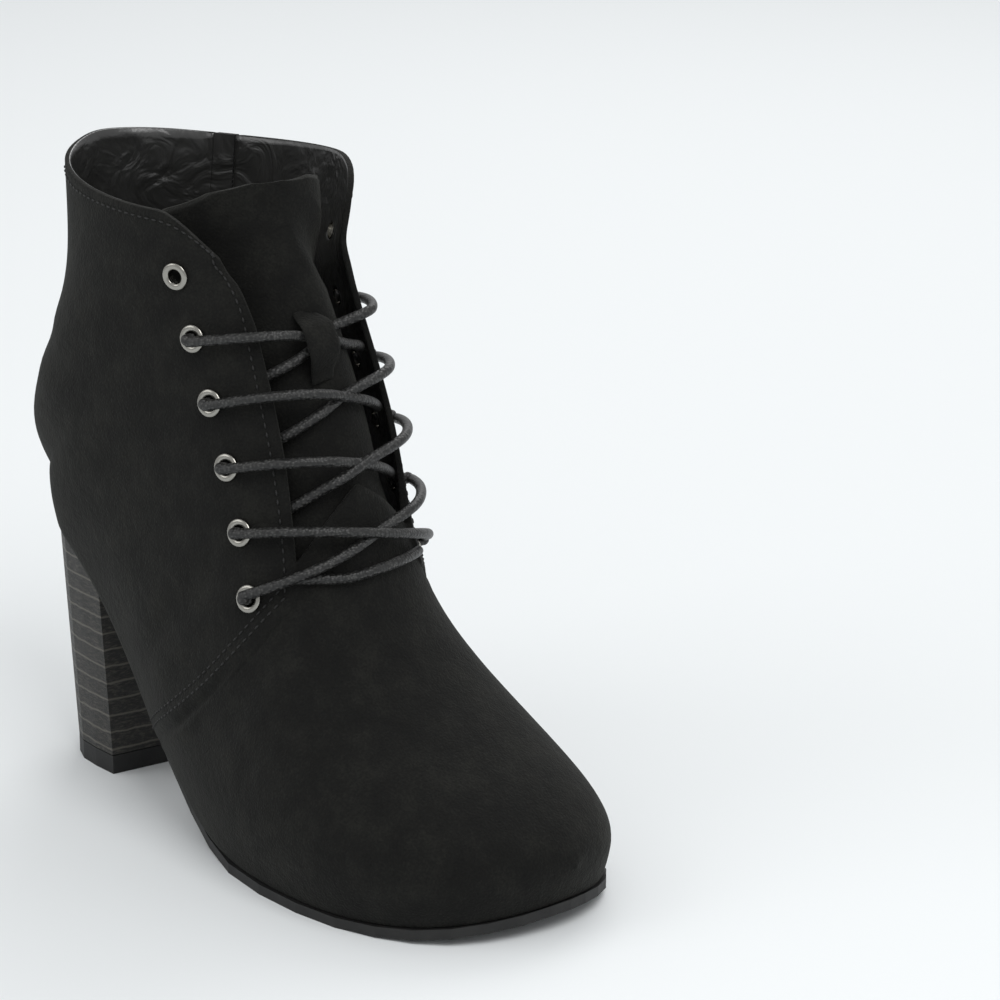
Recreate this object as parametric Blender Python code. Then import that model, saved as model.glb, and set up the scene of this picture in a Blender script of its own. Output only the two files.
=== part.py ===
"""Right lace up ankle boot on a stacked block heel.

Frame: +X to the toe, +Y to the wearer's left (the inner side of this right boot), +Z up, floor at z = 0.
The upper is worked out from a table of sections that fan from the toe over the ball, the waist and the
seat to the collar. Each section runs from the sole's edge, or the back seam, to the crest of the instep.
"""
import math

import bmesh
import bpy
import numpy as np
from mathutils import Matrix, Vector
from mathutils.bvhtree import BVHTree

for old in list(bpy.data.objects):
    bpy.data.objects.remove(old, do_unlink=True)

# Driving dimensions of the last, in metres
LAST_LENGTH = 0.228      # seat back to toe tip, along the floor
BALL_WIDTH = 0.092       # sole width over the ball
HEEL_HEIGHT = 0.083      # the seat's edge above the forepart's edge
SHAFT_HEIGHT = 0.126     # the seat's edge to the collar, at the back
SOLE_THICKNESS = 0.0037
BOOT_HEIGHT = SOLE_THICKNESS + HEEL_HEIGHT + SHAFT_HEIGHT

# Walls, steps and gaps
GAP = 0.0003             # between pieces that meet
VAMP_WALL = 0.0020
QUARTER_WALL = 0.0020
QUARTER_STEP = 0.0012    # the quarters stand this proud of the vamp
STEP_RUN = 0.05          # run of a step's slope, in sections
LATERAL_LIFT = 0.0022    # how far each flap's front edge stands off the last
MEDIAL_LIFT = 0.0045
LATERAL_COLLAR_DROP = 0.003
MEDIAL_COLLAR_RISE = 0.008

# Sole, heel and insole
SOLE_MARGIN = 0.0009     # the outsole stands proud of the upper at the forepart
WAIST_INSET = 0.0010     # and is hidden under it from the waist back
HEEL_LENGTH = 0.0385     # seat back to breast, outer side
COUNTER_ROUNDING = 0.35  # how far the upper curls under at the seat, from 0 to 1
BREAST_SKEW = 0.0100     # the breast's inner corner lies this much further forward
HEEL_BACK_RAKE = 0.0035  # the heel's back edge leans forward by this much on its way down
HEEL_TAPER = 0.87        # width of the heel's foot over its top
TOP_LIFT = 0.0065
INSOLE_THICKNESS = 0.0020
INSOLE_CLEARANCE = 0.0008

# Tongue and its lace keeper
TONGUE_WALL = 0.0018
TONGUE_DEPTH = 0.0012    # under the vamp's wall
TONGUE_FALL = 0.0095     # how far its top leans into the shaft
TONGUE_RISE = 0.0060     # its top above the crest of the collar
TONGUE_DROP = 0.0170     # how much lower its outer corner is
KEEPER_WALL = 0.0010

# Eyelets and lace
EYELETS = 6
EYELET_PITCH = 0.0207
EYELET_INSET = 0.0212    # from the flap's front edge to the lowest eyelet's centre
TOP_EYELET_INSET = 0.0248
EYELET_FLANGE = 0.0044
EYELET_BARREL = 0.0027
EYELET_BORE = 0.0021
EYELET_PROUD = 0.0007
LOWEST_EYELET = 7.84     # its section
LACE_RADIUS = 0.0014
LACE_OVER = 0.0009       # clearance of a strand over a flange or a flap
KEEPER_ROOM = 0.0074      # of the keeper over the tongue, for both strands of a crossing
LACE_TUCK = 0.025        # how far a strand reaches under a flap's edge, in half sections
CROSSING_BITE = 0.0005   # two strands of a crossing share this much

# Zip
ZIP_WIDTH = 0.0065
ZIP_END_SPARE = 0.0030   # wall left under the zip's lower end
SLIDER_WIDTH = 0.0075
SLIDER_LENGTH = 0.0085
SLIDER_PLATE = 0.0016
BRIDGE_WIDTH = 0.0018
BRIDGE_BAR = 0.0009
BRIDGE_ROOM = 0.0016
PULL_WIDTH = 0.0050
PULL_LENGTH = 0.0150
PULL_PLATE = 0.0010
PULL_SLOT_WIDTH = 0.0028
PULL_SLOT_LENGTH = 0.0058

# Sections of the upper's outer face, from the toe to the collar.
# reach: foot of the section along LAST_LENGTH
# rise_lat, rise_med: height of the sole's edge, in HEEL_HEIGHT; behind the seat, in SHAFT_HEIGHT up the back
# centre, sole_lat, sole_med: the sole's middle and half widths, in BALL_WIDTH
# crest_reach, crest_rise: the crest's place, in LAST_LENGTH and BOOT_HEIGHT
# girth_lat, girth_med: the upper's half widths, in BALL_WIDTH
# girth_at: where along the section they lie
SECTIONS = [
    # name, reach, rise_lat, rise_med, centre, sole_lat, sole_med, crest_reach, crest_rise, girth_lat, girth_med, at
    ("toe tip", 1.000, 0.070, 0.070, 0.065, 0.000, 0.000, 1.014, 0.093, 0.000, 0.000, 0.50),
    ("toe front", 0.985, 0.054, 0.052, 0.049, 0.179, 0.179, 0.998, 0.133, 0.212, 0.200, 0.45),
    ("toe cap", 0.945, 0.034, 0.030, 0.022, 0.337, 0.337, 0.955, 0.171, 0.380, 0.365, 0.40),
    ("toe back", 0.880, 0.012, 0.010, 0.000, 0.435, 0.435, 0.889, 0.215, 0.478, 0.468, 0.37),
    ("fore ball", 0.790, 0.000, 0.000, -0.022, 0.489, 0.489, 0.812, 0.264, 0.533, 0.538, 0.34),
    ("ball", 0.680, 0.000, 0.000, -0.033, 0.500, 0.500, 0.737, 0.325, 0.543, 0.558, 0.32),
    ("joint back", 0.560, 0.000, 0.010, -0.043, 0.457, 0.457, 0.683, 0.399, 0.511, 0.533, 0.30),
    ("waist", 0.450, 0.028, 0.100, -0.046, 0.370, 0.380, 0.652, 0.479, 0.467, 0.489, 0.30),
    ("arch", 0.350, 0.185, 0.300, -0.038, 0.315, 0.326, 0.628, 0.565, 0.435, 0.451, 0.30),
    ("breast", 0.250, 0.525, 0.600, -0.022, 0.299, 0.304, 0.595, 0.668, 0.408, 0.413, 0.32),
    ("seat", 0.140, 0.850, 0.860, -0.011, 0.299, 0.304, 0.553, 0.776, 0.397, 0.397, 0.36),
    ("seat back", 0.045, 0.980, 0.980, -0.011, 0.234, 0.234, 0.527, 0.850, 0.397, 0.386, 0.40),
    ("heel edge", 0.000, 1.000, 1.000, -0.011, 0.000, 0.000, 0.513, 0.897, 0.397, 0.386, 0.42),
    ("counter", -0.053, 0.200, 0.200, -0.011, 0.000, 0.000, 0.505, 0.925, 0.386, 0.386, 0.43),
    ("ankle", 0.020, 0.530, 0.530, -0.005, 0.000, 0.000, 0.502, 0.948, 0.375, 0.402, 0.45),
    ("shaft", 0.045, 0.760, 0.760, 0.000, 0.000, 0.000, 0.500, 0.967, 0.367, 0.418, 0.47),
    ("collar", 0.038, 1.000, 1.000, 0.000, 0.000, 0.000, 0.498, 0.980, 0.364, 0.435, 0.50),
]
SEAT = 12                # index of the section at the heel edge
COLLAR = 16

# Front edge of the flaps: section, and share of the half section from the crest to the edge
FLAP_EDGE = [(0.0, 0.26), (7.0, 0.26), (8.6, 0.218), (10.1, 0.195), (12.9, 0.17), (16.0, 0.19)]
# Seam between quarter and vamp: share of the way from the sole to the flap's edge, and its section
SEAM = [(0.0, 8.15), (0.32, 7.84), (0.55, 7.44), (0.74, 7.14), (1.0, 7.05)]
THROAT_SHARE = 0.08      # the throat opens this far up the flap's edge
THROAT_PEAK = 0.50       # and its middle peaks this many sections higher
# Zip: reach in LAST_LENGTH against height in BOOT_HEIGHT, from above the collar down to its curved end
ZIP_LINE = [(1.10, 0.150), (0.97, 0.148), (0.70, 0.136), (0.50, 0.140), (0.40, 0.168), (0.345, 0.205), (0.31, 0.238)]


class Curve:
    """Cubic through knots, without curvature at its ends unless they are flat."""

    def __init__(self, knots, values, flat_start=False, flat_end=False):
        self.t = np.asarray(knots, float)
        self.y = np.asarray(values, float)
        n = len(self.t)
        h = np.diff(self.t)
        slope = np.diff(self.y) / h
        a = np.eye(n)
        r = np.zeros(n)
        for i in range(1, n - 1):
            a[i, i - 1:i + 2] = h[i - 1], 2 * (h[i - 1] + h[i]), h[i]
            r[i] = 6 * (slope[i] - slope[i - 1])
        if flat_start:
            a[0, :2] = 2 * h[0], h[0]
            r[0] = 6 * slope[0]
        if flat_end:
            a[-1, -2:] = h[-1], 2 * h[-1]
            r[-1] = -6 * slope[-1]
        self.m = np.linalg.solve(a, r)

    def __call__(self, x):
        x = np.clip(np.asarray(x, float), self.t[0], self.t[-1])
        i = np.clip(np.searchsorted(self.t, x, side="right") - 1, 0, len(self.t) - 2)
        h = self.t[i + 1] - self.t[i]
        a = (self.t[i + 1] - x) / h
        b = (x - self.t[i]) / h
        bend = ((a ** 3 - a) * self.m[i] + (b ** 3 - b) * self.m[i + 1]) * h ** 2 / 6
        return a * self.y[i] + b * self.y[i + 1] + bend


def smooth(x, start=0.0, end=1.0):
    t = np.clip((np.asarray(x, float) - start) / (end - start), 0, 1)
    return t * t * (3 - 2 * t)


COLUMNS = list(zip(*SECTIONS))
INDEX = range(len(SECTIONS))
REACH = Curve(INDEX[:SEAT + 1], COLUMNS[1][:SEAT + 1], flat_start=True, flat_end=True)
REACH_BACK = Curve(INDEX[SEAT:], COLUMNS[1][SEAT:])
RISE_LAT = Curve(INDEX[:SEAT + 1], COLUMNS[2][:SEAT + 1])
RISE_MED = Curve(INDEX[:SEAT + 1], COLUMNS[3][:SEAT + 1])
RISE_BACK = Curve(INDEX[SEAT:], (0.0,) + COLUMNS[2][SEAT + 1:])
CENTRE, SOLE_LAT, SOLE_MED = [Curve(INDEX, column) for column in COLUMNS[4:7]]
CREST_REACH = Curve(INDEX, COLUMNS[7], flat_start=True)
CREST_RISE, GIRTH_LAT, GIRTH_MED, GIRTH_AT = [Curve(INDEX, column) for column in COLUMNS[8:]]
EDGE = Curve(*zip(*FLAP_EDGE))
SEAM_AT = Curve(*zip(*SEAM))


def along_section(lower, at, low, high, curl):
    """Share of the way from foot to crest; curl rounds the section's start."""
    start = (1 - curl) * low + curl * (1 - np.cos(low * math.pi / 2))
    return np.where(lower, at * start, at + (1 - at) * np.sin(high))


def medial_rise(s, a):
    """The inner quarter's collar climbs towards its flap."""
    return MEDIAL_COLLAR_RISE * smooth(s, SEAT, COLLAR) * smooth(1 - a, 0.25, 0.85) * smooth(a, 0.02, 0.16)


def last_point(s, a):
    """Outer face of the last: s is the section, a runs from -1 (outer sole edge) over 0 (crest) to 1."""
    s = np.asarray(s, float)
    a = np.asarray(a, float)
    outer = a < 0
    behind = s > SEAT
    seat = SOLE_THICKNESS + HEEL_HEIGHT
    rise = np.maximum(np.where(outer, RISE_LAT(s), RISE_MED(s)), 0)
    foot_z = np.where(behind, seat + RISE_BACK(s) * SHAFT_HEIGHT, SOLE_THICKNESS + rise * HEEL_HEIGHT)
    foot_x = np.where(behind, REACH_BACK(s), REACH(s)) * LAST_LENGTH
    foot_y = np.where(behind, 0.0, np.maximum(np.where(outer, SOLE_LAT(s), SOLE_MED(s)), 0.0)) * BALL_WIDTH
    crest_x = CREST_REACH(s) * LAST_LENGTH
    crest_z = CREST_RISE(s) * BOOT_HEIGHT
    girth = np.maximum(np.where(outer, GIRTH_LAT(s), GIRTH_MED(s)), 0.0) * BALL_WIDTH
    up = 1 - np.abs(a)
    turn = 0.30 + 0.20 * np.clip((s - 6) / 8, 0, 1)
    low = np.clip(up / turn, 0, 1)
    high = np.clip((up - turn) / (1 - turn), 0, 1) * math.pi / 2
    at = GIRTH_AT(s)
    curl = smooth(s, 9.5, SEAT)
    share = along_section(up < turn, at, low, high, curl)
    curl_z = COUNTER_ROUNDING * curl + (1 - COUNTER_ROUNDING) * smooth(s, SEAT, SEAT + 1.5)
    share_z = along_section(up < turn, at, low, high, curl_z)
    half = np.where(up < turn, foot_y + (girth - foot_y) * np.sin(low * math.pi / 2), girth * np.cos(high))
    y = np.sign(a) * half + CENTRE(s) * BALL_WIDTH
    z = foot_z + share_z * (crest_z - foot_z)
    z = z + np.where(outer, -smooth(s, SEAT, COLLAR) * LATERAL_COLLAR_DROP * np.sin(math.pi * up), medial_rise(s, a))
    return np.stack([foot_x + share * (crest_x - foot_x), y, z], -1)


def last_normal(s, a):
    """Outward unit normal of the last; along the crest, toe and back it is the mean of both sides."""
    h = 1e-3
    s = np.asarray(s, float)
    a = np.asarray(a, float)
    s0 = np.maximum(s - h, 0)
    s1 = np.minimum(s + h, COLLAR)
    side = np.where(a < 0, -1.0, 1.0)
    crest = np.abs(a) < 1e-9
    a = np.where((s < 0.5) & (np.abs(a) < 0.08), 0.08 * side, a)
    a0 = np.clip(a - h, -1, 1)
    a1 = np.clip(a + h, -1, 1)
    a0 = np.where(side > 0, np.maximum(a0, 1e-6), a0)
    a1 = np.where(side < 0, np.minimum(a1, -1e-6), a1)
    along = last_point(s1, a) - last_point(s0, a)
    across = last_point(s, a1) - last_point(s, a0)
    n = np.cross(across, along)
    n /= np.linalg.norm(n, axis=-1, keepdims=True) + 1e-15
    seam = (s <= 1e-9) | ((s >= SEAT) & (np.abs(a) >= 1 - 1e-9)) | crest
    n[..., 1] = np.where(seam, 0.0, n[..., 1])
    return n / (np.linalg.norm(n, axis=-1, keepdims=True) + 1e-15)


def offset_point(s, a, q):
    return last_point(s, a) + last_normal(s, a) * np.asarray(q, float)[..., None]


def edge_point(side, s, far_s, outward):
    """Point on the sole's plane at a distance outward from the edge; far_s is the other edge's section."""
    point = last_point(s, float(side))
    level = last_normal(s, float(side)) * (1, 1, 0)
    shift = level / np.linalg.norm(level) * outward
    across = last_point(far_s, -float(side)) - point
    if np.linalg.norm(across) < 2 * VAMP_WALL:
        return point + shift
    along = last_point(s + 1e-3, float(side)) - last_point(s - 1e-3, float(side))
    up = np.cross(along, across)
    return point + shift - np.array([0, 0, (up[0] * shift[0] + up[1] * shift[1]) / up[2]])


def flap_a(side, s, v):
    """Share v of the way from the sole, or back seam, to the flap's front edge."""
    return side * (1 - v * (1 - EDGE(s)))


def quarter_layers(side, s, v):
    """Outer and inner offsets of a quarter's wall: its step, and the flap's edge standing off."""
    lift = MEDIAL_LIFT if side > 0 else LATERAL_LIFT
    out = QUARTER_STEP + lift * smooth(v, 0.5, 1.0) * smooth(s, 7.05, 9.4)
    free = smooth(s - SEAM_AT(v), 0.45, 1.3)
    return out, (1 - free) * -VAMP_WALL + free * (out - QUARTER_WALL)


def quarter_point(side, s, v, extra=0.0):
    out, _ = quarter_layers(side, s, v)
    return offset_point(s, flap_a(side, s, v), out + extra)


def quarter_frame(side, s, v):
    """Place and outward normal on a quarter's outer face, with its flap's lift."""
    h = 2e-3
    p = quarter_point(side, s, v)
    along = quarter_point(side, s + h, v) - quarter_point(side, s - h, v)
    across = quarter_point(side, s, v + h) - quarter_point(side, s, v - h)
    n = np.cross(across, along) * side
    n = n / np.linalg.norm(n)
    if np.dot(n, last_normal(s, flap_a(side, s, v))) < 0:
        n = -n
    return Vector(p), Vector(n)


def material(name, colour, roughness, metallic=0.0):
    found = bpy.data.materials.get(name)
    if found:
        return found
    made = bpy.data.materials.new(name)
    made.use_nodes = True
    shader = made.node_tree.nodes["Principled BSDF"]
    shader.inputs["Base Color"].default_value = (*colour, 1)
    shader.inputs["Roughness"].default_value = roughness
    shader.inputs["Metallic"].default_value = metallic
    return made


SUEDE = ("suede", (0.018, 0.018, 0.016), 0.95)
LINING = ("lining", (0.02, 0.02, 0.02), 0.45)
STACK = ("stacked heel", (0.035, 0.034, 0.032), 0.8)
RUBBER = ("rubber", (0.03, 0.03, 0.03), 0.7)
CORD = ("waxed cord", (0.05, 0.05, 0.05), 0.6)
NICKEL = ("nickel", (0.55, 0.54, 0.52), 0.25, 1.0)
TAPE = ("zip tape", (0.015, 0.015, 0.015), 0.8)


def finish(bm, name, look):
    bmesh.ops.recalc_face_normals(bm, faces=bm.faces)
    if bm.calc_volume(signed=True) < 0:
        bmesh.ops.reverse_faces(bm, faces=bm.faces)
    mesh = bpy.data.meshes.new(name)
    bm.to_mesh(mesh)
    bm.free()
    mesh.shade_smooth()
    mesh.set_sharp_from_angle(angle=math.radians(35))
    thing = bpy.data.objects.new(name, mesh)
    bpy.context.collection.objects.link(thing)
    mesh.materials.append(material(*look))
    return thing


def cut_out(thing, cutter, operation="DIFFERENCE"):
    """Apply a Boolean to a piece and remove its cutter."""
    modifier = thing.modifiers.new(operation.lower(), "BOOLEAN")
    modifier.operation = operation
    modifier.object = cutter
    bpy.context.view_layer.update()
    mesh = bpy.data.meshes.new_from_object(thing.evaluated_get(bpy.context.evaluated_depsgraph_get()))
    thing.modifiers.clear()
    thing.data = mesh
    bpy.data.objects.remove(cutter, do_unlink=True)
    mesh.shade_smooth()
    mesh.set_sharp_from_angle(angle=math.radians(35))


def sheet(rows, thickness_rows, name, look):
    """Closed solid between two grids of points with the same rows and columns."""
    bm = bmesh.new()
    top = [[bm.verts.new(p) for p in row] for row in rows]
    low = [[bm.verts.new(p) for p in row] for row in thickness_rows]
    for grid in (top, low):
        for i in range(len(grid) - 1):
            for j in range(len(grid[i]) - 1):
                bm.faces.new((grid[i][j], grid[i][j + 1], grid[i + 1][j + 1], grid[i + 1][j]))
    for i in range(len(top) - 1):
        for j in (0, -1):
            bm.faces.new((top[i][j], top[i + 1][j], low[i + 1][j], low[i][j]))
    for j in range(len(top[0]) - 1):
        for i in (0, -1):
            bm.faces.new((top[i][j], top[i][j + 1], low[i][j + 1], low[i][j]))
    return finish(bm, name, look)


# Upper: vamp in front of the seam, quarters behind it, one wall
SIDE_COLUMNS = 12
CREST_COLUMNS = 6
VAMP_ROWS = 13
THROAT_ROWS = 2
BREAST_ROW = 5           # the row whose foot is the heel's breast
SEAT_ROW = 13            # the row whose foot is the heel edge
QUARTER_ROWS = 22


def collar_section(side, v):
    """The collar's section, brought down at the flap's rounded front corner."""
    fall = 1.5 if side < 0 else 1.1
    return COLLAR - 0.2 * v - fall * smooth(v, 0.80, 1.0) ** 2


def vamp_share(row):
    return (row / VAMP_ROWS) ** 1.15


def section_at(reach):
    """Section whose foot lies at this distance from the seat's back."""
    low, high = 0.0, float(SEAT)
    for _ in range(40):
        middle = (low + high) / 2
        if REACH(middle) * LAST_LENGTH > reach:
            low = middle
        else:
            high = middle
    return (low + high) / 2


BREAST = {-1: section_at(HEEL_LENGTH), 1: section_at(HEEL_LENGTH + BREAST_SKEW)}
QUARTER_START = float(SEAM_AT(0.0)) + STEP_RUN


def foot_section(side, row):
    """Section of a quarter's row at its foot: the seam, the heel's breast, the heel edge and the collar are rows."""
    if row <= BREAST_ROW:
        return QUARTER_START + (BREAST[side] - QUARTER_START) * row / BREAST_ROW
    if row <= SEAT_ROW:
        return SEAT - (SEAT - BREAST[side]) * ((SEAT_ROW - row) / (SEAT_ROW - BREAST_ROW)) ** 1.6
    return SEAT + (COLLAR - SEAT) * (row - SEAT_ROW) / (QUARTER_ROWS - SEAT_ROW)


def quarter_section(side, v, row):
    """Section of a quarter's row: its foot's share of the quarter turns into an even one at the flap's edge."""
    foot = (foot_section(side, row) - QUARTER_START) / (COLLAR - QUARTER_START)
    if row <= THROAT_ROWS:
        top = THROAT_SHARE * row / THROAT_ROWS
    else:
        top = THROAT_SHARE + (1 - THROAT_SHARE) * (row - THROAT_ROWS) / (QUARTER_ROWS - THROAT_ROWS)
    start = SEAM_AT(v) + STEP_RUN
    return start + (collar_section(side, v) - start) * (foot + (top - foot) * v)


def build_upper():
    """Grid of (section, a, outer offset, inner offset), then both faces and the walls on every free edge."""
    places = {}
    faces = []

    def put(key, s, a, out, inner):
        places[key] = (float(s), float(a), float(out), float(inner))

    edge_a = float(EDGE(0.0))
    for i in range(VAMP_ROWS + 1):
        share = vamp_share(i)
        for side in (-1, 1):
            for j in range(SIDE_COLUMNS + 1):
                v = j / SIDE_COLUMNS
                put(("vamp", side, i, j), SEAM_AT(v) * share, side * (1 - v * (1 - edge_a)), 0, -VAMP_WALL)
        for c in range(CREST_COLUMNS + 1):
            a = edge_a * (2 * c / CREST_COLUMNS - 1)
            put(("crest", 0, i, c), SEAM_AT(1.0) * share, a, 0, -VAMP_WALL)
    inset = 0.012
    for i in range(1, THROAT_ROWS + 1):
        for c in range(CREST_COLUMNS + 1):
            middle = 1 - abs(2 * c / CREST_COLUMNS - 1)
            ends = [float(quarter_section(side, 1.0, i)) for side in (-1, 1)]
            s = ends[0] + (ends[1] - ends[0]) * c / CREST_COLUMNS
            s = s + THROAT_PEAK * i / THROAT_ROWS * middle
            a = (float(EDGE(s)) - inset) * (2 * c / CREST_COLUMNS - 1)
            put(("crest", 0, VAMP_ROWS + i, c), s, a, 0, -VAMP_WALL)
    for side in (-1, 1):
        for i in range(QUARTER_ROWS + 1):
            for j in range(SIDE_COLUMNS + 1):
                v = j / SIDE_COLUMNS
                s = quarter_section(side, v, i)
                out, inner = quarter_layers(side, s, v)
                put(("quarter", side, i, j), s, flap_a(side, s, v), out, inner)

    def merged(key):
        """Columns and seams that two panels share are one vertex."""
        kind, side, i, j = key
        if kind == "vamp" and i == 0 and side > 0:
            return ("vamp", -1, 0, j)
        if kind == "crest" and i == 0 and j > CREST_COLUMNS // 2:
            return merged(("crest", 0, 0, CREST_COLUMNS - j))
        if kind == "crest" and i <= VAMP_ROWS and j == 0:
            return merged(("vamp", -1, i, SIDE_COLUMNS))
        if kind == "crest" and i <= VAMP_ROWS and j == CREST_COLUMNS:
            return merged(("vamp", 1, i, SIDE_COLUMNS))
        if kind == "quarter" and j == 0 and side > 0 and i >= SEAT_ROW:
            return ("quarter", -1, i, 0)
        return key

    def quad(*keys):
        ring = []
        for key in map(merged, keys):
            if key not in ring:
                ring.append(key)
        if len(ring) > 2:
            faces.append(ring)

    for side in (-1, 1):
        for j in range(SIDE_COLUMNS):
            for i in range(VAMP_ROWS):
                quad(("vamp", side, i, j), ("vamp", side, i, j + 1),
                     ("vamp", side, i + 1, j + 1), ("vamp", side, i + 1, j))
            quad(("vamp", side, VAMP_ROWS, j), ("vamp", side, VAMP_ROWS, j + 1),
                 ("quarter", side, 0, j + 1), ("quarter", side, 0, j))
            for i in range(QUARTER_ROWS):
                quad(("quarter", side, i, j), ("quarter", side, i, j + 1),
                     ("quarter", side, i + 1, j + 1), ("quarter", side, i + 1, j))
        column = 0 if side < 0 else CREST_COLUMNS
        for i in range(THROAT_ROWS):
            quad(("quarter", side, i, SIDE_COLUMNS), ("crest", 0, VAMP_ROWS + i, column),
                 ("crest", 0, VAMP_ROWS + i + 1, column), ("quarter", side, i + 1, SIDE_COLUMNS))
    for i in range(VAMP_ROWS + THROAT_ROWS):
        for c in range(CREST_COLUMNS):
            quad(("crest", 0, i, c), ("crest", 0, i, c + 1),
                 ("crest", 0, i + 1, c + 1), ("crest", 0, i + 1, c))

    bm = bmesh.new()
    outer = {}
    inner = {}
    for key in {k for ring in faces for k in ring}:
        s, a, out, deep = places[key]
        point = last_point(s, a)
        normal = last_normal(s, a)
        outer[key] = bm.verts.new(point + normal * out)
        if abs(a) > 1 - 1e-9 and s < SEAT + 1e-6:
            far = foot_section(-key[1], key[2]) if key[0] == "quarter" else s
            outer[key].co = Vector(edge_point(key[1], s, far, out))
            inner[key] = bm.verts.new(edge_point(key[1], s, far, deep))
        else:
            inner[key] = bm.verts.new(point + normal * deep)
    count = {}
    for ring in faces:
        bm.faces.new([outer[k] for k in ring])
        bm.faces.new([inner[k] for k in reversed(ring)])
        for k, m in zip(ring, ring[1:] + ring[:1]):
            count[frozenset((k, m))] = count.get(frozenset((k, m)), 0) + 1
    for pair, uses in count.items():
        if uses == 1:
            k, m = tuple(pair)
            bm.faces.new((outer[k], outer[m], inner[m], inner[k]))
    return finish(bm, "upper", SUEDE)


def tube(points, radius, sides=6):
    """Closed round tube along points, as a bmesh."""
    bm = bmesh.new()
    rings = []
    path = [Vector(p) for p in points]
    side = None
    for i, p in enumerate(path):
        ahead = (path[min(i + 1, len(path) - 1)] - path[max(i - 1, 0)]).normalized()
        if side is None:
            side = ahead.orthogonal().normalized()
        side = (side - ahead * side.dot(ahead)).normalized()
        other = ahead.cross(side)
        turns = [2 * math.pi * k / sides for k in range(sides)]
        rings.append([bm.verts.new(p + (side * math.cos(t) + other * math.sin(t)) * radius) for t in turns])
    for low, high in zip(rings, rings[1:]):
        for k in range(sides):
            bm.faces.new((low[k], low[(k + 1) % sides], high[(k + 1) % sides], high[k]))
    bm.faces.new(rings[0])
    bm.faces.new(list(reversed(rings[-1])))
    return bm


def eyelet_places(side):
    """Sections and shares of the eyelets, from the top one down, at an even pitch along the flap."""
    sections = np.linspace(LOWEST_EYELET, COLLAR, 240)
    shares = np.linspace(0.4, 1.0, 121)
    grid = quarter_point(side, *np.meshgrid(sections, shares, indexing="ij"))
    inset = np.linalg.norm(grid - grid[:, -1:], axis=-1)
    wanted = np.linspace(EYELET_INSET, TOP_EYELET_INSET, len(sections))
    share = np.array([np.interp(-w, -row, shares) for w, row in zip(wanted, inset)])
    line = quarter_point(side, sections, share)
    run = np.r_[0, np.cumsum(np.linalg.norm(np.diff(line, axis=0), axis=1))]
    at = [np.interp(k * EYELET_PITCH, run, sections) for k in range(EYELETS)]
    return [(float(s), float(np.interp(s, sections, share))) for s in reversed(at)]


EYELET_PLACES = {side: eyelet_places(side) for side in (-1, 1)}


def eyelet_frames(side):
    return [quarter_frame(side, s, v) for s, v in EYELET_PLACES[side]]


def turned(profile, place, axis, name, look, sides=12):
    """Ring turned from (radius, height) pairs about an axis through place."""
    bm = bmesh.new()
    rotation = axis.to_track_quat("Z", "Y")
    rings = []
    for k in range(sides):
        t = 2 * math.pi * k / sides
        ring = [Vector((r * math.cos(t), r * math.sin(t), h)) for r, h in profile]
        rings.append([bm.verts.new(place + rotation @ p) for p in ring])
    for k in range(sides):
        here, there = rings[k], rings[(k + 1) % sides]
        for m in range(len(profile)):
            n = (m + 1) % len(profile)
            bm.faces.new((here[m], there[m], there[n], here[n]))
    return finish(bm, name, look)


def highest_under(tree, place, axis, radius):
    """Greatest height of a wall over the plane through place, within a radius."""
    across = axis.orthogonal().normalized()
    other = axis.cross(across)
    highest = 0.0
    above = 0.01
    for share in (0.6, 0.8, 1.0):
        for k in range(16):
            t = 2 * math.pi * k / 16
            start = place + (across * math.cos(t) + other * math.sin(t)) * radius * share + axis * above
            hit = tree.ray_cast(start, -axis)
            if hit[0] is not None:
                highest = max(highest, above - hit[3])
    return highest


def build_eyelets(upper):
    """Cut the holes in both flaps and set a flanged ring in each."""
    reach = 0.004
    tree = BVHTree.FromPolygons([v.co for v in upper.data.vertices], [p.vertices[:] for p in upper.data.polygons])
    for side, word in ((-1, "lateral"), (1, "medial")):
        for k, (place, axis) in enumerate(eyelet_frames(side), start=1):
            bm = tube([place - axis * reach, place + axis * reach], EYELET_BARREL + GAP, sides=12)
            cut_out(upper, finish(bm, "hole", NICKEL))
            low = highest_under(tree, place, axis, EYELET_FLANGE) + GAP
            top = low + EYELET_PROUD
            profile = [
                (EYELET_BORE, -QUARTER_WALL), (EYELET_BORE, top), (EYELET_FLANGE, top), (EYELET_FLANGE, low),
                (EYELET_BARREL, low), (EYELET_BARREL, -QUARTER_WALL),
            ]
            turned(profile, place, axis, f"eyelet_{word}_{k}", NICKEL)


# Soles: pairs of stations on the outer and inner edge, from the toe to the heel


def sole_pair(s_lat, s_med, margin):
    """Both edge points of the sole at a station, moved outward by a margin."""
    return [edge_point(-1, s_lat, s_med, margin), edge_point(1, s_med, s_lat, margin)]


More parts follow.
